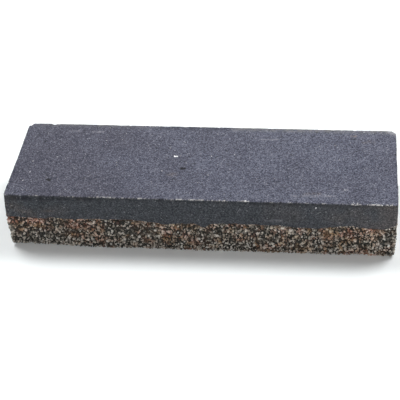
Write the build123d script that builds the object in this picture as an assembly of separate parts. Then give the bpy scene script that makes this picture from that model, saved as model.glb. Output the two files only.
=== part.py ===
"""Two-sided sharpening stone: a fine abrasive slab cemented on top of a coarse one.

Units are millimetres. +X runs along the length, +Y across the width, and +Z up from the coarse
face to the fine face. The origin is the middle of the coarse face, which the stone rests on.
"""

import math
import os

from build123d import *

# Outside of the whole stone.
LENGTH = 150.0
WIDTH = 50.0
THICKNESS = 25.0

# How the thickness is shared out.
FINE_THICKNESS = 11.0
BOND_THICKNESS = 0.5
COARSE_THICKNESS = THICKNESS - FINE_THICKNESS - BOND_THICKNESS

# Worn and moulded shapes.
CORNER_RADIUS = 0.8        # upright corners of both slabs
FINE_EDGE_RADIUS = 0.4     # edge round the fine working face
COARSE_EDGE_RADIUS = 0.7   # edge round the coarse working face, where grains break away first
COARSE_TAPER = 0.3         # how far each side of the coarse slab leans in by its working face
BOND_INSET = 0.4           # how far the bond stops short of the sides

PARTS_FOLDER = "parts"


def outline(inset=0.0):
    """The stone's plan view, drawn in by the same amount on every side."""
    return RectangleRounded(LENGTH - 2 * inset, WIDTH - 2 * inset, CORNER_RADIUS - inset)


def coarse_slab():
    """The lower slab: its sides lean in slightly, and its working face has a rounded edge."""
    lean = math.degrees(math.atan(COARSE_TAPER / COARSE_THICKNESS))
    top = Pos(0, 0, COARSE_THICKNESS) * outline()
    slab = extrude(top, COARSE_THICKNESS, dir=(0, 0, -1), taper=lean)
    working_face = slab.faces().sort_by(Axis.Z)[0]
    return fillet(working_face.edges(), COARSE_EDGE_RADIUS)


def bond_layer():
    """The thin film of cement between the slabs, a little smaller than they are."""
    return extrude(Pos(0, 0, COARSE_THICKNESS) * outline(BOND_INSET), BOND_THICKNESS)


def fine_slab():
    """The upper slab, with the edge round its working face just taken off."""
    base = COARSE_THICKNESS + BOND_THICKNESS
    slab = extrude(Pos(0, 0, base) * outline(), FINE_THICKNESS)
    working_face = slab.faces().sort_by(Axis.Z)[-1]
    return fillet(working_face.edges(), FINE_EDGE_RADIUS)


PIECES = {
    "coarse_grit_slab": coarse_slab,
    "bond_layer": bond_layer,
    "fine_grit_slab": fine_slab,
}

os.makedirs(PARTS_FOLDER, exist_ok=True)
for name, build in PIECES.items():
    export_step(build(), f"{PARTS_FOLDER}/{name}.step")
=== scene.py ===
"""Looks of the two-sided sharpening stone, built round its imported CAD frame. Metres, +Z up.

The fine slab is one dense closed mesh with pores, scuffs and a crumbled upper edge. The coarse slab is a
pitted core with angular abrasive grains bedded in its five open faces. A rusty bond shows between the two.
"""

import math

import bmesh
import bpy
import numpy as np
from mathutils import Matrix, Vector


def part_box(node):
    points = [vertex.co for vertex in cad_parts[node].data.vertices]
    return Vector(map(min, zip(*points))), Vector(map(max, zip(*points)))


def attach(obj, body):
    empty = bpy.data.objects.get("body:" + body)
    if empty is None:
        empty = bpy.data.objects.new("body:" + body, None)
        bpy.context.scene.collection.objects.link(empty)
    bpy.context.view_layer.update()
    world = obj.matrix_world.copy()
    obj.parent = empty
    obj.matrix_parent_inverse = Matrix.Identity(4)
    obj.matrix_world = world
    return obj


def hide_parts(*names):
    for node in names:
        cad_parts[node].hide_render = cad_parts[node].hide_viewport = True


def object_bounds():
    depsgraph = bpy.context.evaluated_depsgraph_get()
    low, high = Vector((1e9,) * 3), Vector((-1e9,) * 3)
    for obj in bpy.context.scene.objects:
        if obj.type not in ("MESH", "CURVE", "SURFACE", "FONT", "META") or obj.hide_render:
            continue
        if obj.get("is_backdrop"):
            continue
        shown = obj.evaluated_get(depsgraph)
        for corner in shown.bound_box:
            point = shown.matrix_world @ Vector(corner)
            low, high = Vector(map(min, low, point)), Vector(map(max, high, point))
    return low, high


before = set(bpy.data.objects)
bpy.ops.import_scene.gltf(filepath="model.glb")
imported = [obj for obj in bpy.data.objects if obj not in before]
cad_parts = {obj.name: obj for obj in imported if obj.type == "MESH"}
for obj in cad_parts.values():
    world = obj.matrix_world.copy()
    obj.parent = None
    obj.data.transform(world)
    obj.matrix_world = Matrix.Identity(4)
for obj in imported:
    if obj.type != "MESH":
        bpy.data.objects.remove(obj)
cad_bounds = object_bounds()

MM = 0.001
UP = np.array([0.0, 0.0, 1.0])
FRONTWARDS = np.array([0.0, -1.0, 0.0])
IN_PLAN = (1, 1, 0)  # noise times this is the same all the way up
TINY = 1e-9          # keeps a division from zero
WHITE = (1.0, 1.0, 1.0, 1.0)

# Shape of the two slabs, as the CAD has it.
HALF_LENGTH = 75 * MM
UPRIGHT_CORNER = 0.8 * MM
FINE_ARRIS = 0.4 * MM
COARSE_ARRIS = 0.7 * MM
COARSE_LEAN = 0.3 * MM
COARSE_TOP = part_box("coarse_grit_slab")[1][2]
BOND_ARRIS = 0.05 * MM

# Mesh density.
FINE_PITCH = 0.4 * MM
FINE_EDGE_STEPS = np.array([0.1, 0.11, 0.13, 0.16, 0.2, 0.25, 0.32]) * MM
CORE_PITCH = 0.55 * MM
CORE_EDGE_STEPS = np.array([0.3, 0.35, 0.4]) * MM
BOND_PITCH = 0.4 * MM
BOND_EDGE_STEPS = np.array([0.3, 0.4]) * MM
BOND_LEVELS = 4

# Seeds of the random draws, so that every run gives the same stone. Each open face adds its number.
CHIP_SEED = 11
PORE_SEED = 23
GRAIN_SHAPE_SEED = 41
FACE_SEED = 50
CRUMB_SEED = 71
CRUMB_SHAPE_SEED = 72
FLECK_SEED = 73
FLECK_SHAPE_SEED = 74

# Abrasive grains of the coarse slab.
GRAIN_KINDS = 48
GRAIN_CORNERS = 11
GRAIN_SIZE_SPREAD = 0.34
LARGEST_GRAIN = 0.52  # as the logarithm of its size over the usual one
CORE_DEPTH = 0.68 * MM
# Layers of grains, outermost first: spacing, radius, and how far they stand out from the face, in mm.
GRAIN_LAYERS = (
    (0.9, 0.55, -0.42, 0.16),
    (0.86, 0.5, -0.78, -0.3),
)
# Grains pressed up over the seam: how far above it, share of the spots filled, and the least and the most
# that they stand out, in mm.
SEAM_GRAINS = (1.0, 0.6, 0.02, 0.28)
# Crumbs and flecks are smaller and plainer.
CRUMB_KINDS = 12
CRUMB_CORNERS = 9


# ---- noise

def hash_lattice(ix, iy, iz, seed):
    """A repeatable number from 0 to 1 for each whole-number lattice point."""
    mixed = (ix * 374761393 + iy * 668265263 + iz * 1442695041 + seed * 982451653) & 0xFFFFFFFF
    mixed = ((mixed ^ (mixed >> 13)) * 1274126177) & 0xFFFFFFFF
    return ((mixed ^ (mixed >> 16)) & 0xFFFFFF) / 0xFFFFFF


def smooth_noise(points, lump, seed):
    """Soft noise from -1 to 1 at each point, with lumps about `lump` metres across."""
    scaled = points / lump
    base = np.floor(scaled).astype(np.int64)
    part = scaled - base
    part = part * part * (3 - 2 * part)
    total = np.zeros(len(points))
    for corner in np.ndindex(2, 2, 2):
        weight = np.prod(np.where(corner, part, 1 - part), axis=1)
        total += weight * hash_lattice(*(base + corner).T, seed)
    return 2 * total - 1


def layered(points, layers):
    """The sum of layers of soft noise. Each has its strength, the size of its lumps in mm, and its seed."""
    return sum(strength * smooth_noise(points, lump * MM, seed) for strength, lump, seed in layers)


def fade(distance, reach):
    """1 at no distance, falling smoothly to 0 at `reach` and beyond."""
    left = np.clip(1 - distance / reach, 0, 1)
    return left * left * (3 - 2 * left)


def rise(values, start, over):
    """0 up to `start`, rising evenly to 1 over the next `over`."""
    return np.clip((values - start) / over, 0, 1)


def drift(values, change):
    """A change along one axis: where it starts in mm, over how many mm it grows, and how strong it gets."""
    start, over, strength = change
    return strength * rise(values, start * MM, over * MM)


def streaks(points, table):
    """Strength at each point of a table of streaks: both ends in mm, half width in mm, strength."""
    total = np.zeros(len(points))
    for start, end, half_width, strength in table:
        start = np.array(start) * MM
        along = np.array(end) * MM - start
        share = np.clip((points - start) @ along / (along @ along), 0, 1)
        gap = np.linalg.norm(points - start - share[:, None] * along, axis=1)
        total = np.maximum(total, fade(gap, 2 * half_width * MM) * strength)
    return total


# ---- slabs

class Slab:
    """A slab's real surface: carries points on its plain box to its rounded, leaning shape."""

    def __init__(self, node, works_upwards, arris, lean):
        low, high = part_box(node)
        self.low = np.array(low)
        self.high = np.array(high)
        self.sign = 1 if works_upwards else -1
        self.working_z = self.high[2] if works_upwards else self.low[2]
        self.arris = arris
        self.lean = lean

    def surface(self, flat):
        """(positions, outward normals, distance from the working face's edge) for points on the plain box."""
        half = (self.high - self.low)[:2] / 2
        middle = (self.high + self.low)[:2] / 2
        plan = flat[:, :2] - middle
        inner = np.clip(plan, UPRIGHT_CORNER - half, half - UPRIGHT_CORNER)
        out = plan - inner
        reach = np.abs(out).max(axis=1)
        length = np.linalg.norm(out, axis=1)
        outward = out / np.where(length > 0, length, 1)[:, None]
        inset = UPRIGHT_CORNER - reach
        depth = np.abs(flat[:, 2] - self.working_z)
        sideways = np.clip(self.arris - inset, 0, None)
        upwards = np.clip(self.arris - depth, 0, None)
        both = (sideways > 0) & (upwards > 0)
        diagonal = np.maximum(np.hypot(sideways, upwards), TINY)
        squeeze = np.where(both, np.maximum(sideways, upwards) / diagonal, 1)
        plan = inner + outward * (reach + sideways * (squeeze - 1))[:, None]
        nearness = 1 - depth / (self.high[2] - self.low[2])
        plan *= 1 - self.lean * nearness[:, None] / half
        height = flat[:, 2] + self.sign * upwards * (squeeze - 1)
        positions = np.column_stack([plan + middle, height])
        normals = np.column_stack([outward * sideways[:, None], self.sign * upwards])
        size = np.linalg.norm(normals, axis=1)
        normals[size == 0] = -self.sign * UP
        normals /= np.where(size > 0, size, 1)[:, None]
        return positions, normals, np.hypot(inset, depth)


def round_off(points, axes, corner, inward, radius):
    """Rounds one edge in place. The edge is square to both axes and goes through `corner`.

    `inward` is +1 or -1 along each axis: the way from the edge into the stone.
    """
    centres = [place + way * radius for place, way in zip(corner, inward)]
    gaps = [np.minimum((points[:, axis] - c) * way, 0) for axis, c, way in zip(axes, centres, inward)]
    squeeze = np.minimum(radius / np.maximum(np.hypot(*gaps), TINY), 1)
    for axis, centre, way, gap in zip(axes, centres, inward, gaps):
        points[:, axis] = np.where(gap < 0, centre + way * gap * squeeze, points[:, axis])


def round_four(points, low, high, level, upward, radii):
    """Rounds the four edges of a box at one level, in place: front, back, left and right."""
    edges = ((1, low[1], 1), (1, high[1], -1), (0, low[0], 1), (0, high[0], -1))
    for (axis, place, inward), radius in zip(edges, radii):
        round_off(points, (axis, 2), (place, level), (inward, upward), radius)


def lattice_line(low, high, pitch, edge_steps):
    """Lattice positions from low to high, close together by both ends and a pitch apart between."""
    near = np.concatenate([[0], np.cumsum(edge_steps)])
    count = round((high - low - 2 * near[-1]) / pitch)
    middle = np.linspace(low + near[-1], high - near[-1], count + 1)
    return np.concatenate([low + near[:-1], middle, (high - near[:-1])[::-1]])


def lattice(slab, pitch, edge_steps):
    """The lattice lines of a slab's box along X, Y and Z."""
    return [lattice_line(low, high, pitch, edge_steps) for low, high in zip(slab.low, slab.high)]


def rim(counts, level):
    """Lattice numbers round the edge of the plan at one level, anticlockwise from above."""
    last_x = counts[0] - 1
    last_y = counts[1] - 1
    path = [(i, 0) for i in range(last_x)]
    path += [(last_x, j) for j in range(last_y)]
    path += [(i, last_y) for i in range(last_x, 0, -1)]
    path += [(0, j) for j in range(last_y, 0, -1)]
    return [np.ravel_multi_index((i, j, level), counts) for i, j in path]


def box_mesh(xs, ys, zs, capped):
    """A closed mesh over a box from its lattice lines: (points, faces).

    `capped` lists the levels, 0 for the bottom and -1 for the top, that are one polygon each.
    """
    counts = (len(xs), len(ys), len(zs))
    quads = []
    for axis in range(3):
        u, v = (a for a in range(3) if a != axis)
        grid = np.meshgrid(np.arange(counts[u] - 1), np.arange(counts[v] - 1), indexing="ij")
        for level in (0, -1):
            if axis == 2 and level in capped:
                continue
            corners = []
            for du, dv in ((0, 0), (1, 0), (1, 1), (0, 1)):
                place = [None, None, None]
                place[axis] = np.full(grid[0].size, level % counts[axis])
                place[u] = grid[0].ravel() + du
                place[v] = grid[1].ravel() + dv
                corners.append(np.ravel_multi_index(place, counts))
            faces_outward = (level == -1) == (axis != 1)
            quads.append(np.stack(corners if faces_outward else corners[::-1], axis=1))
    quads = np.concatenate(quads)
    used, flat = np.unique(quads, return_inverse=True)
    faces = flat.reshape(quads.shape).tolist()
    for level in capped:
        loop = np.searchsorted(used, rim(counts, level % counts[2]))
        faces.append((loop if level == -1 else loop[::-1]).tolist())
    i, j, k = np.unravel_index(used, counts)
    return np.column_stack([xs[i], ys[j], zs[k]]), faces


def add_object(name, data):
    """A new object in the scene."""
    made = bpy.data.objects.new(name, data)
    bpy.context.scene.collection.objects.link(made)
    return made


def make_piece(name, points, faces, material, smooth, marks=None):
    """A mesh object that rides on the stone. `marks` are per-point values that its material reads."""
    mesh = bpy.data.meshes.new(name)
    mesh.from_pydata(points.tolist(), [], faces)
    for label, values in (marks or {}).items():
        layer = mesh.attributes.new(label, "FLOAT", "POINT")
        layer.data.foreach_set("value", np.asarray(values, dtype=np.float32))
    mesh.polygons.foreach_set("use_smooth", [smooth] * len(mesh.polygons))
    mesh.materials.append(material)
    piece = add_object(name, mesh)
    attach(piece, "root")
    return piece


# ---- material nodes

def add_node(tree, kind, inputs=None, **settings):
    """A shader node with its settings, and its inputs linked or set."""
    made = tree.nodes.new("ShaderNode" + kind)
    for name, value in settings.items():
        setattr(made, name, value)
    for name, value in (inputs or {}).items():
        if isinstance(value, bpy.types.NodeSocket):
            tree.links.new(value, made.inputs[name])
        else:
            made.inputs[name].default_value = value
    return made


def start_material(name):
    """(material, node tree, Principled shader, object coordinates)"""
    material = bpy.data.materials.new(name)
    material.use_nodes = True
    tree = material.node_tree
    shader = tree.nodes["Principled BSDF"]
    where = add_node(tree, "TexCoord").outputs["Object"]
    return material, tree, shader, where


def noise(tree, where, lump, detail=2.0, roughness=0.5):
    """Soft noise with lumps about `lump` metres across."""
    settings = {"Vector": where, "Scale": 1 / lump, "Detail": detail, "Roughness": roughness}
    return add_node(tree, "TexNoise", settings).outputs["Fac"]


def specks(tree, where, across):
    """A random value for each irregular cell about `across` wide."""
    cells = add_node(tree, "TexVoronoi", {"Vector": where, "Scale": 1 / across})
    parts = add_node(tree, "SeparateColor", {"Color": cells.outputs["Color"]})
    return parts.outputs["Red"]


def mark(tree, name):
    """One of the per-point values that make_piece stores in the mesh."""
    return add_node(tree, "Attribute", attribute_name=name).outputs["Fac"]


def sums(tree, *terms):
    """The sum of (socket, weight) terms. A weight is a number or a socket."""
    total = 0.0
    for socket, weight in terms:
        inputs = {0: socket, 1: weight, 2: total}
        total = add_node(tree, "Math", inputs, operation="MULTIPLY_ADD").outputs[0]
    return total


def rescale(tree, value, from_low, from_high, to_low=0.0, to_high=1.0):
    """A value carried from one range to another, and held at the ends."""
    ends = {"From Min": from_low, "From Max": from_high, "To Min": to_low, "To Max": to_high}
    inputs = {"Value": value, **ends}
    return add_node(tree, "MapRange", inputs).outputs["Result"]


def ramp(tree, value, stops):
    """Colours along a value, from (position, colour) stops."""
    made = add_node(tree, "ValToRGB", {"Fac": value})
    elements = made.color_ramp.elements
    while len(elements) < len(stops):
        elements.new(1.0)
    for element, (position, colour) in zip(elements, stops):
        element.position = position
        element.color = (*colour, 1.0)
    return made.outputs["Color"]


# A Mix node's sockets when it mixes colours: its factor and two colours, and its result.
MIX_INPUTS = (0, 6, 7)
MIX_OUTPUT = 2


def blend(tree, factor, first, second):
    """Two colours mixed: each is a socket or a colour."""
    made = add_node(tree, "Mix", data_type="RGBA")
    for number, value in zip(MIX_INPUTS, (factor, first, second)):
        if isinstance(value, bpy.types.NodeSocket):
            tree.links.new(value, made.inputs[number])
        else:
            plain = isinstance(value, float)
            made.inputs[number].default_value = value if plain else (*value, 1.0)
    return made.outputs[MIX_OUTPUT]


def bump(tree, height, distance):
    """Relief finer than the mesh, as a normal."""
    inputs = {"Height": height, "Distance": distance, "Strength": 1.0}
    return add_node(tree, "Bump", inputs).outputs["Normal"]


def finish_material(tree, shader, colour, roughness, normal):
    """Links a material's colour, roughness and relief to its shader."""
    tree.links.new(colour, shader.inputs["Base Color"])
    tree.links.new(roughness, shader.inputs["Roughness"])
    tree.links.new(normal, shader.inputs["Normal"])


# ---- materials

def fine_grit_material():
    """Dense slate-grey abrasive: bluish on the ground face; browner on the sides as they came from the mould,
    and darker there as painted shade of the upright faces.
    """
    material, tree, shader, where = start_material("fine_grit")
    clumps = noise(tree, where, 0.42 * MM, 2.0, 0.6)
    grains = specks(tree, where, 0.36 * MM)
    mottle = noise(tree, where, 11 * MM, 4.0, 0.55)
    tone = sums(tree, (clumps, 1.3), (grains, 0.5), (mottle, 0.15))
    tone = rescale(tree, tone, 0.6, 1.35)
    bluish = ramp(tree, tone, [
        (0, (0.01, 0.0122, 0.03)),
        (0.5, (0.089, 0.0955, 0.136)),
        (1, (0.232, 0.241, 0.298)),
    ])
    # Pinker and darker: the darker part is painted shade, laid on most towards the left end.
    pinkish = ramp(tree, tone, [
        (0, (0.0075, 0.0082, 0.0225)),
        (0.5, (0.065, 0.0664, 0.0945)),
        (1, (0.181, 0.1825, 0.224)),
    ])
    ground = blend(tree, mark(tree, "warm_and_shaded"), bluish, pinkish)
    # The sides: their own browner colour, painted darker as the shade of the upright faces.
    side_colour_and_shade = ramp(tree, tone, [
        (0, (0.0125, 0.015, 0.021)),
        (0.5, (0.0535, 0.059, 0.07)),
        (1, (0.132, 0.138, 0.153)),
    ])
    colour = blend(tree, mark(tree, "ground"), side_colour_and_shade, ground)
    # Painted shade of small hollows: dark specks with no relief under them.
    pit_shade = rescale(tree, specks(tree, where, 0.5 * MM), 0.03, 0.06, 0.65, 0.0)
    colour = blend(tree, pit_shade, colour, (0.011, 0.013, 0.028))
    colour = blend(tree, mark(tree, "shade"), colour, (0.017, 0.019, 0.027))
    rusty = ramp(tree, tone, [
        (0, (0.04, 0.032, 0.028)),
        (0.5, (0.135, 0.105, 0.092)),
        (1, (0.31, 0.255, 0.22)),
    ])
    colour = blend(tree, mark(tree, "stain"), colour, rusty)
    colour = blend(tree, mark(tree, "dust"), colour, (0.225, 0.22, 0.198))
    # Scuffs, and painted light: the working face paler to the back, the sides paler to the right.
    colour = blend(tree, mark(tree, "scuff_and_painted_light"), colour, (0.325, 0.325, 0.365))
    broken_bits = rescale(tree, specks(tree, where, 0.42 * MM), 0.3, 0.6)
    broken = sums(tree, (mark(tree, "crumble"), broken_bits))
    colour = blend(tree, broken, colour, (0.68, 0.66, 0.64))
    glints = rescale(tree, grains, 0.99, 0.994)
    colour = blend(tree, sums(tree, (glints, 0.28)), colour, (0.62, 0.62, 0.66))
    # Painted shade down in the pores.
    colour = blend(tree, mark(tree, "pore_shade"), colour, (0.01, 0.01, 0.012))
    shader.inputs["Specular IOR Level"].default_value = 0.35
    roughness = rescale(tree, grains, 0.0, 1.0, 0.62, 0.92)
    finish_material(tree, shader, colour, roughness, bump(tree, tone, 0.09 * MM))
    return material


def coarse_grain_material():
    """Broken abrasive grains, from charcoal to pale, some rust-stained, each with its own tone."""
    material, tree, shader, where = start_material("coarse_grains")
    texture = noise(tree, where, 0.3 * MM, 3.0, 0.6)
    tone = sums(tree, (mark(tree, "tone"), 1.0), (texture, 0.6))
    tone = rescale(tree, tone, 0.26, 1.36)
    plain = ramp(tree, tone, [
        (0, (0.01, 0.014, 0.013)),
        (0.3, (0.092, 0.089, 0.078)),
        (0.55, (0.37, 0.325, 0.272)),
        (0.8, (0.78, 0.71, 0.63)),
        (1, (0.96, 0.92, 0.87)),
    ])
    reddish = ramp(tree, tone, [
        (0, (0.062, 0.023, 0.013)),
        (0.3, (0.23, 0.094, 0.056)),
        (0.55, (0.56, 0.268, 0.178)),
        (1, (0.925, 0.715, 0.625)),
    ])
    golden = ramp(tree, tone, [
        (0, (0.052, 0.028, 0.013)),
        (0.3, (0.205, 0.116, 0.056)),
        (0.55, (0.51, 0.32, 0.17)),
        (1, (0.9, 0.75, 0.57)),
    ])
    rusty = blend(tree, mark(tree, "gold"), reddish, golden)
    colour = blend(tree, mark(tree, "rust"), plain, rusty)
    shader.inputs["Specular IOR Level"].default_value = 0.5
    roughness = rescale(tree, texture, 0.3, 0.7, 0.38, 0.72)
    finish_material(tree, shader, colour, roughness, bump(tree, texture, 0.1 * MM))
    return material


def coarse_core_material():
    """The binder and buried grains seen down between the bedded grains, painted near-black partly as the
    shade down in the pores.
    """
    material, tree, shader, where = start_material("coarse_binder_and_pore_shade")
    lumps = noise(tree, where, 0.6 * MM, 4.0, 0.7)
    patches = noise(tree, where, 7 * MM, 2.0, 0.5)
    dark = ramp(tree, lumps, [
        (0.35, (0.014, 0.015, 0.014)),
        (0.55, (0.042, 0.038, 0.032)),
        (0.75, (0.125, 0.1, 0.078)),
    ])
    colour = blend(tree, rescale(tree, patches, 0.5, 0.68, 0.0, 0.4), dark, (0.105, 0.054, 0.032))
    roughness = rescale(tree, lumps, 0.3, 0.7, 0.8, 0.98)
    finish_material(tree, shader, colour, roughness, bump(tree, lumps, 0.25 * MM))
    return material


def bond_material():
    """The cement line: brown, with rust where iron in it has weathered."""
    material, tree, shader, where = start_material("bond")
    lumps = noise(tree, where, 0.7 * MM, 4.0, 0.65)
    dull = ramp(tree, lumps, [
        (0.3, (0.026, 0.021, 0.018)),
        (0.7, (0.15, 0.098, 0.066)),
    ])
    colour = blend(tree, mark(tree, "rust"), dull, (0.12, 0.056, 0.032))
    roughness = rescale(tree, lumps, 0.3, 0.7, 0.75, 0.95)
    finish_material(tree, shader, colour, roughness, bump(tree, lumps, 0.2 * MM))
    return material


def crumb_material():
    """Pale broken bits and mineral flecks."""
    material, tree, shader, where = start_material("pale_crumbs")
    lumps = noise(tree, where, 0.25 * MM, 3.0, 0.6)
    colour = ramp(tree, sums(tree, (mark(tree, "tone"), 0.8), (lumps, 0.5)), [
        (0.15, (0.2, 0.19, 0.185)),
        (0.6, (0.54, 0.515, 0.49)),
        (1, (0.96, 0.96, 0.97)),
    ])
    roughness = rescale(tree, lumps, 0.3, 0.7, 0.45, 0.75)
    finish_material(tree, shader, colour, roughness, bump(tree, lumps, 0.06 * MM))
    return material


# The floor is a faintly lit studio table, which keeps the shadows soft.
FLOOR_GLOW = 0.12


def floor_material():
    """Plain pale floor, a little cool, with a barely seen unevenness."""
    material, tree, shader, where = start_material("pale_floor")
    lumps = noise(tree, where, 60 * MM, 3.0, 0.5)
    colour = ramp(tree, lumps, [(0.3, (0.868, 0.905, 0.912)), (0.7, (0.894, 0.93, 0.937))])
    tree.links.new(colour, shader.inputs["Base Color"])
    shader.inputs["Roughness"].default_value = 0.9
    shader.inputs["Specular IOR Level"].default_value = 0.2
    shader.inputs["Emission Color"].default_value = WHITE
    shader.inputs["Emission Strength"].default_value = FLOOR_GLOW
    return material


# ---- fine slab

# Large pores in the working face: x, y, radius, depth in mm.
CHOSEN_PORES = (
    (-8.3, -4.5, 1.05, 0.8),
    (-7.4, -4.5, 0.95, 0.75),
    (-59.2, -14.5, 1, 0.6),
    (-60.1, -14.1, 0.7, 0.35),
    (-66, 12, 0.6, 0.3),
    (12.5, 9, 0.55, 0.25),
)
RANDOM_PORES = 240
PORE_RADII = (0.35, 0.65)  # in mm, least and most
PORE_DEPTH = 0.45          # as a share of the radius
# Least and most painted shade inside one of the random pores.
PORE_SHADE_STRENGTHS = (0.3, 0.9)

# Marks on the surface, in mm: one end, other end, half width, strength.
SCUFFS = (
    ((36, -20.8, 25), (51, -20.2, 25), 0.4, 0.45),
    ((20.8, 16.6, 25), (28, 16.9, 25), 0.35, 0.55),
    ((-57.3, 19.7, 25), (-53.6, 19.8, 25), 0.4, 0.35),
    ((-47.8, 19.5, 25), (-43.5, 19.5, 25), 0.4, 0.65),
    ((-74.9, -24.7, 24.9), (-73.9, -24.8, 24.9), 0.4, 0.7),
    ((54.2, -17, 25), (56, -15.6, 25), 0.3, 0.55),
    ((72.4, 24.4, 24.8), (75, 22.2, 24.2), 0.8, 1),
    ((-4, -7.5, 25), (6, -7, 25), 0.3, 0.15),
    ((25.4, -25, 16.2), (27.2, -25, 16.3), 0.4, 0.35),
    ((28.4, -25, 16.4), (31.2, -25, 16.4), 0.45, 0.45),
)
STAINS = (
    ((57.6, 20.5, 25), (58.7, 20.5, 25), 0.6, 1),
    ((61.4, 16.3, 25), (64.2, 16.2, 25), 0.35, 0.45),
    ((40.5, -19, 25), (45.8, -18.9, 25), 0.7, 0.35),
    ((-12.5, -8.9, 25), (-11, -8.9, 25), 1.1, 0.35),
    ((64, 17, 25), (66, 16.6, 25), 0.6, 0.4),
    ((-73, -25, 20.1), (-64.6, -25, 15.1), 1.9, 0.38),
    ((-75, -25, 22.5), (-75, -25, 14.5), 1.3, 0.42),
    ((-61.1, -25, 17.7), (-56.4, -25, 17.8), 0.45, 0.5),
)
DUSTY = (
    ((-72, 24.7, 25), (-22, 24.7, 25), 1.5, 0.3),
    ((10, 24.6, 25), (72.5, 24.6, 25), 1.7, 0.48),
    ((14, 24.5, 25), (60, 24.5, 25), 0.5, 0.75),
    ((72.5, 24.5, 25), (75, 22.5, 24.5), 0.8, 1),
    ((72.5, 24.5, 23), (75, 22.5, 23), 1.2, 0.8),
)
SHADES = (
    ((-20.5, 23.4, 25), (-5, 23.1, 25), 1.15, 0.46),
    ((-5, 23.1, 25), (7, 22.8, 25), 0.9, 0.28),
    ((-16, 24.4, 25), (8, 24.2, 25), 0.35, 0.7),
    ((57.6, 18.4, 25), (58.6, 18.4, 25), 0.5, 0.9),
    ((8, 20.5, 25), (16, 20.7, 25), 0.35, 0.35),
    ((-74.5, -25, 23.8), (-60, -25, 23.6), 0.85, 1.3),
    ((-60, -25, 23.8), (-39.4, -25, 23.8), 0.7, 1.1),
    ((-39.4, -25, 24.1), (20, -25, 24.1), 0.4, 0.55),
    ((20, -25, 24.1), (74, -25, 24.1), 0.5, 0.8),
    ((-64.8, -25, 18.4), (-64.2, -25, 18.2), 0.5, 0.85),
    ((-61.8, -9.2, 25), (-60.4, -11.4, 25), 0.35, 0.55),
)

# An old break in the back edge: the edge is worn lower from here to the right.
BREAK_X = -65.9 * MM

# How far each upper edge is rounded: the back one on either side of the break, and the other three.
BACK_ROUNDING = (0.05 * MM, 0.35 * MM)
OTHER_ROUNDING = 0.4 * MM

# Scoops broken out of the upper edge: x, y, how far up the bite comes from, radius, depth in mm.
CHOSEN_CHIPS = (
    (-75, 25, 0.45, 5, 1.6),
    (75, 25, 0.35, 5, 1.5),
    (-75, -25, 0.75, 2.4, 0.5),
    (75, -25, 0.75, 1.6, 0.45),
    (-64.6, 25, 0.75, 1.4, 0.8),
    (-10, 25, 0.75, 2.4, 0.45),
    (58.6, 25, 0.75, 1.5, 0.5),
    (58.6, -25, 0.75, 1, 0.45),
)
RANDOM_CHIPS = 420
SMALLEST_CHIP = 0.3 * MM
CHIP_DEPTH = 0.4  # as a share of the radius
DEEPEST_CHIP = 0.45 * MM

# Where the front of the seam dips below its level, or rises above it: middle, reach and depth in mm.
SEAM_DIPS = (
    (-74, 13, -0.8),
    (-57, 4.5, -0.8),
    (-36, 22, -0.8),
    (-12, 16, 0.4),
    (1.6, 3.5, 1.6),
    (10.5, 8, -0.6),
    (40.5, 9, 0.8),
    (57, 9, -1.1),
    (69, 3.5, 0.4),
    (75, 4.5, -1.5),
)
SEAM_DIP_FADE = 12 * MM  # the dips grow from the middle of the ends to this far in front of it
SEAM_REACH = 3 * MM      # how far above and below the seam the slabs follow it

# Noise on the fine slab, in layers: strength (in mm where it is relief), size of the lumps in mm, seed.
FACE_RELIEF = ((0.035, 0.9, 3), (0.03, 3.5, 4))
SIDE_RELIEF = ((0.06, 2, 6),)
DRAG_LINES = ((0.04, 0.8, 5),)
DRAG_STRETCH = (1, 1, 0.12)  # makes the drag lines run upright
END_RELIEF = ((0.16, 6.5, 16),)
EDGE_WANDER = ((0.2, 6, 12),)
BACK_EDGE_RELIEF = ((0.3, 2.5, 17),)
SEAM_WANDER = ((0.42, 4.5, 1), (0.3, 1.3, 2))
CRUMBLE_DOTS = ((0.75, 0.8, 7), (0.6, 0.45, 8))
MARK_RAGS = ((0.8, 0.9, 9), (0.5, 0.45, 13))
STAIN_RAGS = ((0.8, 3, 9),)
STAIN_PATCHES = ((1, 9, 10),)
EDGE_GAPS = ((2.5, 0.7, 18),)
WARM_PATCHES = ((0.4, 12, 15),)

# How the fine slab's colour drifts: from where in mm, over how many mm, how strong.
SIDES_BROWN = (42, 32, 0.38)  # to the right
# The next two are painted light: the sides paler to the right, the working face paler to the back.
SIDES_PAINTED_LIGHT = (20, 25, 0.035)  # to the right
FACE_PAINTED_LIGHT = (0, 20, 0.03)   # to the back
# Painted shade with a pinkish tint: the working face darker and pinker to the left.
FACE_WARMS_AND_SHADE = (-20, 75, 0.85)  # to the left

# How crumbled the front upper edge is: x from, x to in mm, share covered, how pale.
CRUMBLED = (
    (-74, -40, 0.1, 0.5),
    (-40, -31, 0.62, 0.8),
    (-31, -26, 0.42, 0.6),
    (-26, -14, 0.62, 0.7),
    (-14, -8.5, 0.45, 0.7),
    (-8.5, 3, 0.72, 0.8),
    (3, 8, 0.4, 0.6),
    (8, 10.5, 0.9, 1),
    (10.5, 16.5, 0.45, 0.7),
    (16.5, 19.5, 0.95, 1),
    (19.5, 33, 0.18, 0.6),
    (33, 36, 0.5, 0.7),
    (36, 57.5, 0.22, 0.6),
    (57.5, 60.5, 1, 1),
    (60.5, 63, 0.5, 0.8),
    (63, 73.2, 1, 1),
    (73.2, 74.5, 0.3, 0.6),
)


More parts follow.
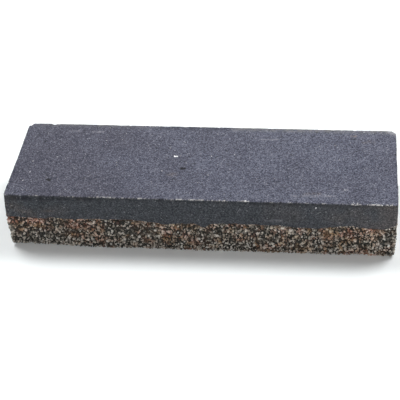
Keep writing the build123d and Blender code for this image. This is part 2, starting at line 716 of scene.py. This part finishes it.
def scoop(points, edge_point, outward, radius, depth):
    """Pushes the points inside a ball, which bites `depth` into the edge, back onto the ball."""
    centre = edge_point + outward * (radius - depth)
    from_centre = points - centre
    inside = (from_centre ** 2).sum(axis=1) < radius ** 2
    inner = from_centre[inside]
    along = inner @ outward
    push = along + np.sqrt(along ** 2 - (inner ** 2).sum(axis=1) + radius ** 2)
    points[inside] -= push[:, None] * outward


def edge_place(slab, run):
    """A point of the working face's outline, and the way outward there, for a `run` from 0 to 1."""
    width, depth, _ = slab.high - slab.low
    (left, front, _), (right, back, _) = slab.low, slab.high
    travel = run * 2 * (width + depth)
    sides = (
        (left, front, 1, 0, width),
        (right, front, 0, 1, depth),
        (right, back, -1, 0, width),
        (left, back, 0, -1, math.inf),  # takes whatever is left of the way
    )
    for x, y, dx, dy, length in sides:
        if travel <= length:
            break
        travel -= length
    return np.array([x + dx * travel, y + dy * travel, slab.working_z]), np.array([dy, -dx, 0.0])


def wear_upper_edges(slab, points):
    """Rounds the upper edges unevenly, in place: the back one most to the right of its old break."""
    plan = points * IN_PLAN
    wander = layered(plan, EDGE_WANDER) * MM
    slight = OTHER_ROUNDING + wander
    back = np.where(points[:, 0] < BREAK_X, *BACK_ROUNDING) + wander + layered(plan, BACK_EDGE_RELIEF) * MM
    round_four(points, slab.low, slab.high, slab.high[2], -1, (slight, back, slight, slight))


def chip_edge(slab, points):
    """Bites the chosen and the random chips out of the upper edge."""
    rng = np.random.default_rng(CHIP_SEED)
    for x, y, lift, radius, depth in CHOSEN_CHIPS:
        place = np.array([x * MM, y * MM, slab.working_z])
        at_corner = abs(x * MM) >= HALF_LENGTH
        outward = np.array([np.sign(x) if at_corner else 0.0, np.sign(y), lift])
        outward /= np.linalg.norm(outward)
        scoop(points, place, outward, radius * MM, depth * MM)
    for run in rng.uniform(0, 1, RANDOM_CHIPS):
        place, sideways = edge_place(slab, run)
        outward = sideways + UP * rng.uniform(0.6, 1.4) + rng.normal(0, 0.15, 3)
        outward /= np.linalg.norm(outward)
        radius = SMALLEST_CHIP * (1 + rng.exponential(0.7))
        scoop(points, place, outward, radius, min(radius * CHIP_DEPTH, DEEPEST_CHIP))


def sink_pores(slab, points, normals):
    """Sinks pores into the working face and the sides. Returns the painted shade each leaves in its hollow, 0
    to 1.
    """
    rng = np.random.default_rng(PORE_SEED)
    wanted = []
    for x, y, radius, depth in CHOSEN_PORES:
        centre = np.array([x * MM, y * MM, slab.working_z])
        wanted.append((centre, radius * MM, depth * MM, 1.0))
    centres = points[rng.choice(len(points), RANDOM_PORES, replace=False)]
    radii = rng.uniform(*PORE_RADII, RANDOM_PORES) * MM
    shade_strengths = rng.uniform(*PORE_SHADE_STRENGTHS, RANDOM_PORES)
    for centre, radius, dark in zip(centres, radii, shade_strengths):
        wanted.append((centre, radius, radius * PORE_DEPTH, dark))
    pore_shade = np.zeros(len(points))
    for centre, radius, depth, dark in wanted:
        from_centre = points - centre
        near = np.abs(from_centre).max(axis=1) < radius
        share = fade(np.linalg.norm(from_centre[near], axis=1), radius)
        points[near] -= normals[near] * (depth * share)[:, None]
        pore_shade[near] = np.maximum(pore_shade[near], np.clip(3 * share, 0, 1) * dark)
    return pore_shade


def seam_dip(points):
    """How far the seam lies below its level at each point: it wanders along the front only."""
    dip = np.zeros(len(points))
    for middle, reach, depth in SEAM_DIPS:
        dip += depth * MM * fade(np.abs(points[:, 0] - middle * MM), reach * MM)
    return dip * rise(-points[:, 1], 0, SEAM_DIP_FADE)


def roughen_sides(slab, points, normals, rest):
    """Relief on every face, upright drag lines on the sides, bulging ends, and an uneven lower rim."""
    upright = 1 - np.abs(normals[:, 2])
    relief = layered(rest, FACE_RELIEF)
    drag = layered(rest * DRAG_STRETCH, DRAG_LINES) + layered(rest, SIDE_RELIEF)
    height = rest[:, 2] - slab.low[2]
    at_left = np.clip(-normals[:, 0], 0, 1)
    bulge = layered(rest, END_RELIEF) * np.abs(normals[:, 0])
    bulge += (0.1 + 0.3 * fade(height, 13 * MM)) * at_left
    by_seam = fade(height, SEAM_REACH)
    overhang = 0.25 * np.clip(seam_dip(rest) / MM, 0, 1) * by_seam
    points += normals * ((relief + drag * upright + bulge + overhang) * MM)[:, None]
    wander = layered(rest * IN_PLAN, SEAM_WANDER) - 0.1
    points[:, 2] += (wander * MM - seam_dip(rest)) * by_seam


def crumble_marks(rest, edge_gap):
    """How pale the broken grit along the upper edge shows: dotted along the front, faint elsewhere."""
    x, y, z = rest.T
    dots = layered(rest, CRUMBLE_DOTS)
    crumble = fade(edge_gap, 0.6 * MM) * np.clip(dots - 0.15, 0, 1) * 0.5
    on_top = np.clip(1.6 - (z.max() - z) / (0.25 * MM), 0, 1)
    for start, end, share, pale in CRUMBLED:
        within = on_top * (x > start * MM) * (x < end * MM) * (y < 0)
        near = np.clip(1.8 * fade(edge_gap, (0.4 + 0.38 * pale) * MM), 0, 1)
        covered = np.clip(4 * (dots - 0.55 * (1 - 2 * share)), 0, 1)
        crumble = np.maximum(crumble, within * near * covered * pale)
    return crumble


def fine_slab_marks(rest, normals, edge_gap):
    """What the material reads at each point of the fine slab, each from 0 to 1."""
    x, y, _ = rest.T
    upright = 1 - np.abs(normals[:, 2])
    ragged = np.clip(0.75 + layered(rest, MARK_RAGS), 0, 1.3)
    # Painted light: paler to the back of the working face and to the right on the sides.
    painted_light_drift = drift(y, FACE_PAINTED_LIGHT) * (1 - upright) + drift(x, SIDES_PAINTED_LIGHT) * upright
    browned = drift(x, SIDES_BROWN) * np.clip(0.8 + layered(rest, STAIN_RAGS), 0, 1)
    patches = 0.3 * np.clip(layered(rest, STAIN_PATCHES) - 0.25, 0, 1)
    stain = np.clip((browned + patches) * upright, 0, 0.8)
    gaps = np.clip(layered(rest, EDGE_GAPS) - 0.4, 0, 0.9)
    gaps *= fade(edge_gap, 0.78 * MM) * (y < -20 * MM)
    # Pinkish tint in patches and growing to the left, with painted shade in how much darker it is.
    warm_and_shaded = 0.08 + drift(-x, FACE_WARMS_AND_SHADE) + layered(rest, WARM_PATCHES)
    marks = {
        "ground": rise(normals[:, 2], 0.35, 0.4),
        "warm_and_shaded": warm_and_shaded,
        "dust": streaks(rest, DUSTY) * ragged,
        "crumble": crumble_marks(rest, edge_gap),
        "scuff_and_painted_light": streaks(rest, SCUFFS) * ragged + painted_light_drift,
        "stain": np.maximum(stain, streaks(rest, STAINS) * ragged),
        "shade": streaks(rest, SHADES) * ragged + gaps,
    }
    return {label: np.clip(values, 0, 1) for label, values in marks.items()}


def make_fine_slab(material):
    """The fine slab. Returns its surface, for the crumbs to be placed on."""
    slab = Slab("fine_grit_slab", works_upwards=True, arris=FINE_ARRIS, lean=0.0)
    flat, faces = box_mesh(*lattice(slab, FINE_PITCH, FINE_EDGE_STEPS), capped=(0,))
    points, normals, edge_gap = slab.surface(flat)
    rest = points.copy()
    wear_upper_edges(slab, points)
    roughen_sides(slab, points, normals, rest)
    chip_edge(slab, points)
    marks = fine_slab_marks(rest, normals, edge_gap)
    marks["pore_shade"] = sink_pores(slab, points, normals)
    piece = make_piece("fine_slab", points, faces, material, True, marks)
    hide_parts("fine_grit_slab")
    return slab


# ---- grains

def grain_shapes(count, corners, seed):
    """Angular convex grains about one unit in radius, as (points, triangles)."""
    rng = np.random.default_rng(seed)
    shapes = []
    for _ in range(count):
        spread = rng.normal(size=(corners, 3))
        spread /= np.linalg.norm(spread, axis=1)[:, None]
        spread *= rng.uniform(0.65, 1.0, 3)
        hull = bmesh.new()
        for point in spread:
            hull.verts.new(point)
        bmesh.ops.convex_hull(hull, input=hull.verts)
        loose = [vert for vert in hull.verts if not vert.link_faces]
        bmesh.ops.delete(hull, geom=loose, context="VERTS")
        bmesh.ops.recalc_face_normals(hull, faces=hull.faces)
        hull.verts.index_update()
        points = np.array([vert.co[:] for vert in hull.verts])
        triangles = np.array([[vert.index for vert in face.verts] for face in hull.faces])
        shapes.append((points, triangles))
        hull.free()
    return shapes


def random_turns(count, rng):
    """Rotation matrices turned every way."""
    turns = rng.normal(size=(count, 4))
    w, x, y, z = turns.T / np.linalg.norm(turns, axis=1)
    rows = [
        [1 - 2 * (y * y + z * z), 2 * (x * y - z * w), 2 * (x * z + y * w)],
        [2 * (x * y + z * w), 1 - 2 * (x * x + z * z), 2 * (y * z - x * w)],
        [2 * (x * z - y * w), 2 * (y * z + x * w), 1 - 2 * (x * x + y * y)],
    ]
    return np.array(rows).transpose(2, 0, 1)


def bed_grains(shapes, places, normals, radii, proud, rng):
    """One mesh of grains, each standing `proud` of its place: (points, triangles, grain of each point)."""
    kinds = rng.integers(0, len(shapes), len(places))
    turns = random_turns(len(places), rng)
    points = []
    faces = []
    owners = []
    total = 0
    for kind, (shape, triangles) in enumerate(shapes):
        mine = np.flatnonzero(kinds == kind)
        solid = np.einsum("nij,mj->nmi", turns[mine], shape) * radii[mine, None, None]
        outermost = np.einsum("nmi,ni->nm", solid, normals[mine]).max(axis=1)
        shift = places[mine] + normals[mine] * (proud[mine] - outermost)[:, None]
        solid += shift[:, None, :]
        starts = total + np.arange(len(mine)) * len(shape)
        points.append(solid.reshape(-1, 3))
        faces.append((starts[:, None, None] + triangles).reshape(-1, 3))
        owners.append(np.repeat(mine, len(shape)))
        total += len(mine) * len(shape)
    return np.concatenate(points), np.concatenate(faces).tolist(), np.concatenate(owners)


def scattered(low, high, spacing, rng):
    """Jittered points over a rectangle."""
    counts = np.maximum(np.round((high - low) / spacing), 1).astype(int)
    grid = np.stack(np.meshgrid(*[np.arange(c) for c in counts], indexing="ij"), axis=-1).reshape(-1, 2)
    grid = grid + rng.uniform(0, 1, grid.shape)
    return low + grid * (high - low) / counts


# Tones of the grains, 0 dark to 1 pale: the usual one, how far they vary, and what each mm outwards adds.
USUAL_TONE = 0.598
TONE_RANGE = 0.46
TONE_PER_MM = 0.35

# Patches in the grains' tone, rust and gold: strength, size of the lumps in mm, seed.
TONE_PATCHES = ((0.4, 1.2, 33), (0.05, 3.6, 34))
RUST_PATCHES = ((1, 2, 31), (0.2, 6, 32))
GOLD_PATCHES = ((1.3, 2.6, 35),)

RUSTIER_RIGHT = (28, 20, 0.17)  # to the right: from where in mm, over how many mm, how strong
RUSTY_STRETCH = (-46, 10)       # a rusty stretch under the bond: middle and reach in mm


def grain_marks(places, proud, rng):
    """Tone, rust and how golden the rust is for each grain. It is rustiest under the bond at the left end."""
    x, _, z = places.T
    by_bond = fade(COARSE_TOP - z, 3.6 * MM)
    at_left_end = np.clip(2 * by_bond, 0, 1) * rise(-x, 58 * MM, 6 * MM)
    at_corner = fade(HALF_LENGTH - x, 7 * MM)
    low_left = fade(z, 12 * MM) * fade(x + HALF_LENGTH, 45 * MM)
    left_foot = fade(z, 9 * MM) * fade(x + HALF_LENGTH, 16 * MM)
    middle, reach = RUSTY_STRETCH
    rusty_stretch = by_bond * fade(np.abs(x - middle * MM), reach * MM)

    spread = rng.uniform(-1, 1, len(places))
    tone = USUAL_TONE + TONE_RANGE * np.sign(spread) * np.abs(spread) ** 1.05
    # Outer grains rubbed paler, and deeper ones darker as painted shade down between the grains.
    tone += TONE_PER_MM * proud / MM + layered(places, TONE_PATCHES)
    # Paler in the lowest 5.5 mm, worn greyer and painted light; darker in the lowest 1.8 mm as painted shade
    # at the foot.
    tone += 0.21 * fade(z, 5.5 * MM) - 0.3 * fade(z, 1.8 * MM)
    tone += 0.05 * x / HALF_LENGTH + 0.08 * at_left_end - 0.12 * at_corner - 0.12 * left_foot

    rust = 0.175 + layered(places, RUST_PATCHES) + drift(x, RUSTIER_RIGHT)
    rust += 0.2 * fade(COARSE_TOP - z, 9 * MM) - 0.25 * fade(z, 3.5 * MM)
    rust += 0.4 * rusty_stretch + 1.3 * at_left_end - 0.4 * low_left - 0.45 * at_corner
    rust += rng.uniform(-0.12, 0.12, len(places))

    gold = 0.45 + layered(places, GOLD_PATCHES) - 0.9 * at_left_end
    return {"tone": np.clip(tone, 0, 1), "rust": np.clip(rust, 0, 0.95), "gold": np.clip(gold, 0, 1)}


# Wear of the coarse slab's bottom edges, in mm.
EDGE_WEAR = 0.15
GNAWED = ((0.8, 2.4, 14),)  # uneven wear on top of it, as noise
FRONT_LEFT_WEAR = 2.2       # added to the front edge at its left end, over the reach
FRONT_LEFT_REACH = 45
LEFT_CORNER_WEAR = 2.1  # added to the end edges at the front, over the reach
RIGHT_CORNER_WEAR = 2.3
CORNER_WEAR_REACH = 18
NOTCH = (61.2, 3.4, 1.3)  # a broken stretch of the front bottom edge: middle, half width, added wear
END_SWELL = (0.7, 0.3)  # how far the left and the right end bulge above their worn feet
SWELL_FROM = 55           # where the bulge starts along X, and over how far along X and Z it grows
SWELL_OVER = 20
SWELL_HEIGHT = 9

CORE_PITS = ((0.16, 1.1, 21), (0.12, 0.6, 22))


def wear_coarse(slab, points):
    """Rounds the coarse slab's bottom edges unevenly, in place, and bulges its ends above them."""
    x, y, _ = points.T
    middle, half_width, added = NOTCH
    notch = added * np.clip(1.4 * (half_width - np.abs(x / MM - middle)), 0, 1)
    usual = EDGE_WEAR + np.clip(layered(points * IN_PLAN, GNAWED), 0, None)
    at_front = fade(y - slab.low[1], CORNER_WEAR_REACH * MM)
    front = usual + notch + FRONT_LEFT_WEAR * fade(x - slab.low[0], FRONT_LEFT_REACH * MM)
    left = usual + LEFT_CORNER_WEAR * at_front
    right = usual + RIGHT_CORNER_WEAR * at_front
    wear = np.array([front, usual, left, right]) * MM
    round_four(points, slab.low + COARSE_LEAN, slab.high - COARSE_LEAN, slab.low[2], 1, wear)
    upper_part = rise(points[:, 2], 0, SWELL_HEIGHT * MM)
    for way, swell in zip((-1, 1), END_SWELL):
        at_end = rise(way * points[:, 0], SWELL_FROM * MM, SWELL_OVER * MM) ** 2
        points[:, 0] += way * swell * MM * at_end * upper_part


def make_core(slab, material):
    """The pitted binder that shows between the grains."""
    flat, faces = box_mesh(*lattice(slab, CORE_PITCH, CORE_EDGE_STEPS), capped=(-1,))
    points, normals, _ = slab.surface(flat)
    wear_coarse(slab, points)
    points -= normals * (CORE_DEPTH + layered(points, CORE_PITS) * MM)[:, None]
    core = make_piece("coarse_core", points, faces, material, True)
    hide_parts("coarse_grit_slab")


def grain_layer(slab, axis, level, layer, rng):
    """One layer of grains over one face: (places on the slab's plain box, radii, how far each stands out)."""
    spacing, radius, lowest, highest = layer
    overlap, filled, least_out, most_out = SEAM_GRAINS
    across = [a for a in range(3) if a != axis]
    top = slab.high + UP * overlap * MM
    spots = scattered(slab.low[across], top[across], spacing * MM, rng)
    places = np.empty((len(spots), 3))
    places[:, across] = spots
    places[:, axis] = level
    out = rng.uniform(lowest, highest, len(spots))
    over_seam = places[:, 2] > slab.high[2]
    out[over_seam] = rng.uniform(least_out, most_out, over_seam.sum())
    kept = ~over_seam | (rng.uniform(0, 1, len(spots)) < filled)
    size = np.minimum(rng.normal(0, GRAIN_SIZE_SPREAD, kept.sum()), LARGEST_GRAIN)
    return places[kept], radius * MM * np.exp(size), out[kept] * MM


def make_grains(slab, side, axis, level, layers, shapes, material, rng):
    """The grains of one open face of the coarse slab, as one piece."""
    beds = [grain_layer(slab, axis, level, layer, rng) for layer in layers]
    flat, radii, proud = (np.concatenate(parts) for parts in zip(*beds))
    places, normals, _ = slab.surface(flat)
    wear_coarse(slab, places)
    places[:, 2] -= seam_dip(places) * fade(slab.high[2] - places[:, 2], SEAM_REACH)
    points, triangles, owner = bed_grains(shapes, places, normals, radii, proud, rng)
    points[:, 2] = np.maximum(points[:, 2], slab.low[2])
    marks = {label: values[owner] for label, values in grain_marks(places, proud, rng).items()}
    name = f"coarse_grains_{side}"
    piece = make_piece(name, points, triangles, material, False, marks)
    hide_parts("coarse_grit_slab")


def make_coarse_slab(core_material, grain_material):
    """The coarse slab: its core, and the grains of each open face."""
    slab = Slab("coarse_grit_slab", works_upwards=False, arris=COARSE_ARRIS, lean=COARSE_LEAN)
    make_core(slab, core_material)
    shapes = grain_shapes(GRAIN_KINDS, GRAIN_CORNERS, GRAIN_SHAPE_SEED)
    # Each open face: the axis it is square to, its level on the plain box, and its layers of grains.
    open_faces = {
        "front": (1, slab.low[1], GRAIN_LAYERS),
        "back": (1, slab.high[1], GRAIN_LAYERS),
        "left": (0, slab.low[0], GRAIN_LAYERS),
        "right": (0, slab.high[0], GRAIN_LAYERS),
        "underside": (2, slab.low[2], GRAIN_LAYERS[:1]),
    }
    for number, (side, (axis, level, layers)) in enumerate(open_faces.items()):
        rng = np.random.default_rng(FACE_SEED + number)
        make_grains(slab, side, axis, level, layers, shapes, grain_material, rng)


BOND_RIM = ((0.22, 1.6, 61), (0.1, 0.6, 62))
BOND_RUST = ((0.7, 4, 63),)
RUSTIER_LEFT = (50, 10, 0.7)  # to the left: from where in mm, over how many mm, how strong


def make_bond(material):
    """The cement film, squeezed out unevenly at its rim."""
    slab = Slab("bond_layer", works_upwards=True, arris=BOND_ARRIS, lean=0.0)
    lines = [lattice_line(slab.low[a], slab.high[a], BOND_PITCH, BOND_EDGE_STEPS) for a in range(2)]
    lines.append(np.linspace(slab.low[2], slab.high[2], BOND_LEVELS))
    flat, faces = box_mesh(*lines, capped=(0, -1))
    points, normals, _ = slab.surface(flat)
    upright = np.abs(normals[:, 2]) < 0.5
    squeeze = 0.05 + layered(points, BOND_RIM)
    points += normals * (upright * squeeze * MM)[:, None]
    points[:, 2] -= seam_dip(points)
    rust = np.clip(0.25 + layered(points, BOND_RUST) + drift(-points[:, 0], RUSTIER_LEFT), 0, 1)
    piece = make_piece("bond_seam", points, faces, material, True, {"rust": rust})
    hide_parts("bond_layer")


# Crumbs on the front upper edge, in mm: how many where it is all crumbled, their least radius, how far back
# and down from the edge they lie, how far they stand out, and which way.
CRUMBS_PER_MM = 2.8
CRUMB_RADIUS = 0.1
CRUMBS_BACK = (0.02, 0.45)
CRUMBS_DOWN = (0.00, 0.3)
CRUMBS_PROUD = (-0.02, 0.08)
CRUMBS_FACE = np.array([0.0, -0.7, 0.72])

# Mineral flecks: place in mm, radius in mm, tone. They lie flat in the working face or the front side.
FACE_HEIGHT = 25.0
CHOSEN_FLECKS = (
    (-12.1, 3.3, 25, 0.95, 1.15),
    (-11.6, 3.4, 25, 1.05, 1.15),
    (-10.9, 3.6, 25, 0.95, 1.15),
    (-9.9, 3.8, 25, 0.22, 0.4),
    (-68.2, -2.2, 25, 0.38, 0.6),
    (-69.6, -15.3, 25, 0.45, 0.7),
    (-68.3, -9.5, 25, 0.48, 0.8),
    (-67.6, -9.5, 25, 0.5, 0.8),
    (-59.1, 1, 25, 0.4, 0.6),
    (-15.9, -6.7, 25, 0.35, 0.6),
    (2.4, 4.1, 25, 0.35, 0.6),
    (11.4, 5.8, 25, 0.42, 0.7),
    (55.1, -16, 25, 0.36, 0.65),
    (62.2, 23.5, 25, 0.45, 0.8),
    (65.8, 22.6, 25, 0.3, 0.6),
    (69, 23.3, 25, 0.32, 0.6),
    (18, -24.6, 25, 0.5, 0.9),
    (26.3, -24.3, 25, 0.28, 0.8),
    (58.4, -23.6, 25, 0.38, 0.9),
    (58.6, -24.3, 25, 0.42, 0.9),
    (59.8, -24.1, 25, 0.32, 0.7),
    (44.5, -25, 22.8, 0.6, 0.9),
    (60.3, -25, 16.4, 0.45, 0.6),
)
RANDOM_FLECKS = 170
FLECKS_ALONG = 73  # random flecks lie this far either way from the middle, in mm
FLECKS_ACROSS = 24
FLECK_RADII = (0.14, 0.3)  # in mm
FLECK_TONES = (0.1, 0.6)
FLECK_OUT = 0.6    # how far one would stand out, as a share of its radius,
GROUND_OFF = 0.04  # and how far out it is ground off, in mm


def make_crumbs(slab, material):
    """Pale bits standing on the crumbled front edge."""
    rng = np.random.default_rng(CRUMB_SEED)
    shapes = grain_shapes(CRUMB_KINDS, CRUMB_CORNERS, CRUMB_SHAPE_SEED)
    places = []
    radii = []
    for start, end, share, pale in CRUMBLED:
        count = int((end - start) * CRUMBS_PER_MM * share * pale)
        x = rng.uniform(start, end, count) * MM
        y = slab.low[1] + rng.uniform(*CRUMBS_BACK, count) * MM
        z = slab.high[2] - rng.uniform(*CRUMBS_DOWN, count) * MM
        places.append(np.column_stack([x, y, z]))
        radii.append(CRUMB_RADIUS * MM * (1 + pale * rng.exponential(0.9, count)))
    places = np.concatenate(places)
    radii = np.concatenate(radii)
    outward = np.tile(CRUMBS_FACE, (len(places), 1))
    proud = rng.uniform(*CRUMBS_PROUD, len(places)) * MM
    points, triangles, owner = bed_grains(shapes, places, outward, radii, proud, rng)
    tone = rng.uniform(0.3, 1.0, len(places))
    make_piece("edge_crumbs", points, triangles, material, False, {"tone": tone[owner]})


def make_flecks(material):
    """Mineral flecks ground flush with the working face, and a few in the front side."""
    rng = np.random.default_rng(FLECK_SEED)
    random_flecks = np.column_stack([
        rng.uniform(-FLECKS_ALONG, FLECKS_ALONG, RANDOM_FLECKS),
        rng.uniform(-FLECKS_ACROSS, FLECKS_ACROSS, RANDOM_FLECKS),
        np.full(RANDOM_FLECKS, FACE_HEIGHT),
        rng.uniform(*FLECK_RADII, RANDOM_FLECKS),
        rng.uniform(*FLECK_TONES, RANDOM_FLECKS),
    ])
    table = np.concatenate([CHOSEN_FLECKS, random_flecks])
    places = table[:, :3] * MM
    radii = table[:, 3] * MM
    on_top = table[:, 2] == FACE_HEIGHT
    normals = np.where(on_top[:, None], UP, FRONTWARDS)
    shapes = grain_shapes(CRUMB_KINDS, CRUMB_CORNERS, FLECK_SHAPE_SEED)
    points, triangles, owner = bed_grains(shapes, places, normals, radii, radii * FLECK_OUT, rng)
    height = ((points - places[owner]) * normals[owner]).sum(axis=1)
    points -= normals[owner] * np.maximum(height - GROUND_OFF * MM, 0)[:, None]
    tone = table[owner, 4]
    make_piece("face_flecks", points, triangles, material, False, {"tone": tone})


# ---- stage

FLOOR_HALF = 1.5
WORLD_LIGHT = 0.12

# Soft boxes: name, place, width and length in metres, power in watts.
STUDIO_LIGHTS = (
    ("back_left", (-0.3, 0.19, 0.58), 0.24, 0.34, 3.0),
    ("back_right", (0.3, 0.19, 0.58), 0.24, 0.34, 3.1),
    ("front_fill", (0.2, -0.72, 0.45), 0.6, 0.6, 0.7),
)


def make_floor(material):
    """A square floor under the stone."""
    corners = [(x * FLOOR_HALF, y * FLOOR_HALF, 0) for x, y in ((-1, -1), (1, -1), (1, 1), (-1, 1))]
    mesh = bpy.data.meshes.new("floor")
    mesh.from_pydata(corners, [], [(0, 1, 2, 3)])
    mesh.materials.append(material)
    floor = add_object("floor", mesh)
    floor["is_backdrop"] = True


def make_light(name, place, width, length, power):
    """A white soft box that faces the stone."""
    lamp = bpy.data.lights.new(name, "AREA")
    lamp.shape = "RECTANGLE"
    lamp.size = width
    lamp.size_y = length
    lamp.energy = power
    light = add_object(name, lamp)
    light.location = place
    light.rotation_euler = (-Vector(place)).to_track_quat("-Z", "Y").to_euler()


def make_camera(target, distance, azimuth, elevation, roll, lens):
    """A camera looking at the target; azimuth 0 looks along +Y, and roll tilts the picture."""
    back = Vector((
        math.sin(azimuth) * math.cos(elevation),
        -math.cos(azimuth) * math.cos(elevation),
        math.sin(elevation),
    ))
    data = bpy.data.cameras.new("camera")
    data.lens = lens
    data.sensor_width = 36.0
    camera = add_object("camera", data)
    turn = back.to_track_quat("Z", "Y").to_matrix().to_4x4() @ Matrix.Rotation(roll, 4, "Z")
    camera.matrix_world = Matrix.Translation(Vector(target) + back * distance) @ turn
    bpy.context.scene.camera = camera


def make_stage():
    """The floor, the lights and the camera."""
    make_floor(floor_material())
    for light in STUDIO_LIGHTS:
        make_light(*light)
    world = bpy.data.worlds.new("studio")
    world.use_nodes = True
    background = world.node_tree.nodes["Background"]
    background.inputs["Color"].default_value = WHITE
    background.inputs["Strength"].default_value = WORLD_LIGHT
    bpy.context.scene.world = world
    bpy.context.scene.view_settings.view_transform = "Standard"
    make_camera(
        target=(-0.00364, 0.0084, 0.0),
        distance=0.5218,
        azimuth=math.radians(7.76),
        elevation=math.radians(36.69),
        roll=math.radians(-3.04),
        lens=114.6,
    )


fine = make_fine_slab(fine_grit_material())
make_coarse_slab(coarse_core_material(), coarse_grain_material())
make_bond(bond_material())
crumbs = crumb_material()
make_crumbs(fine, crumbs)
make_flecks(crumbs)
make_stage()

sizes = {"cad": cad_bounds, "visual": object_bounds()}
sizes = {name: [[float(value) for value in corner] for corner in bounds] for name, bounds in sizes.items()}
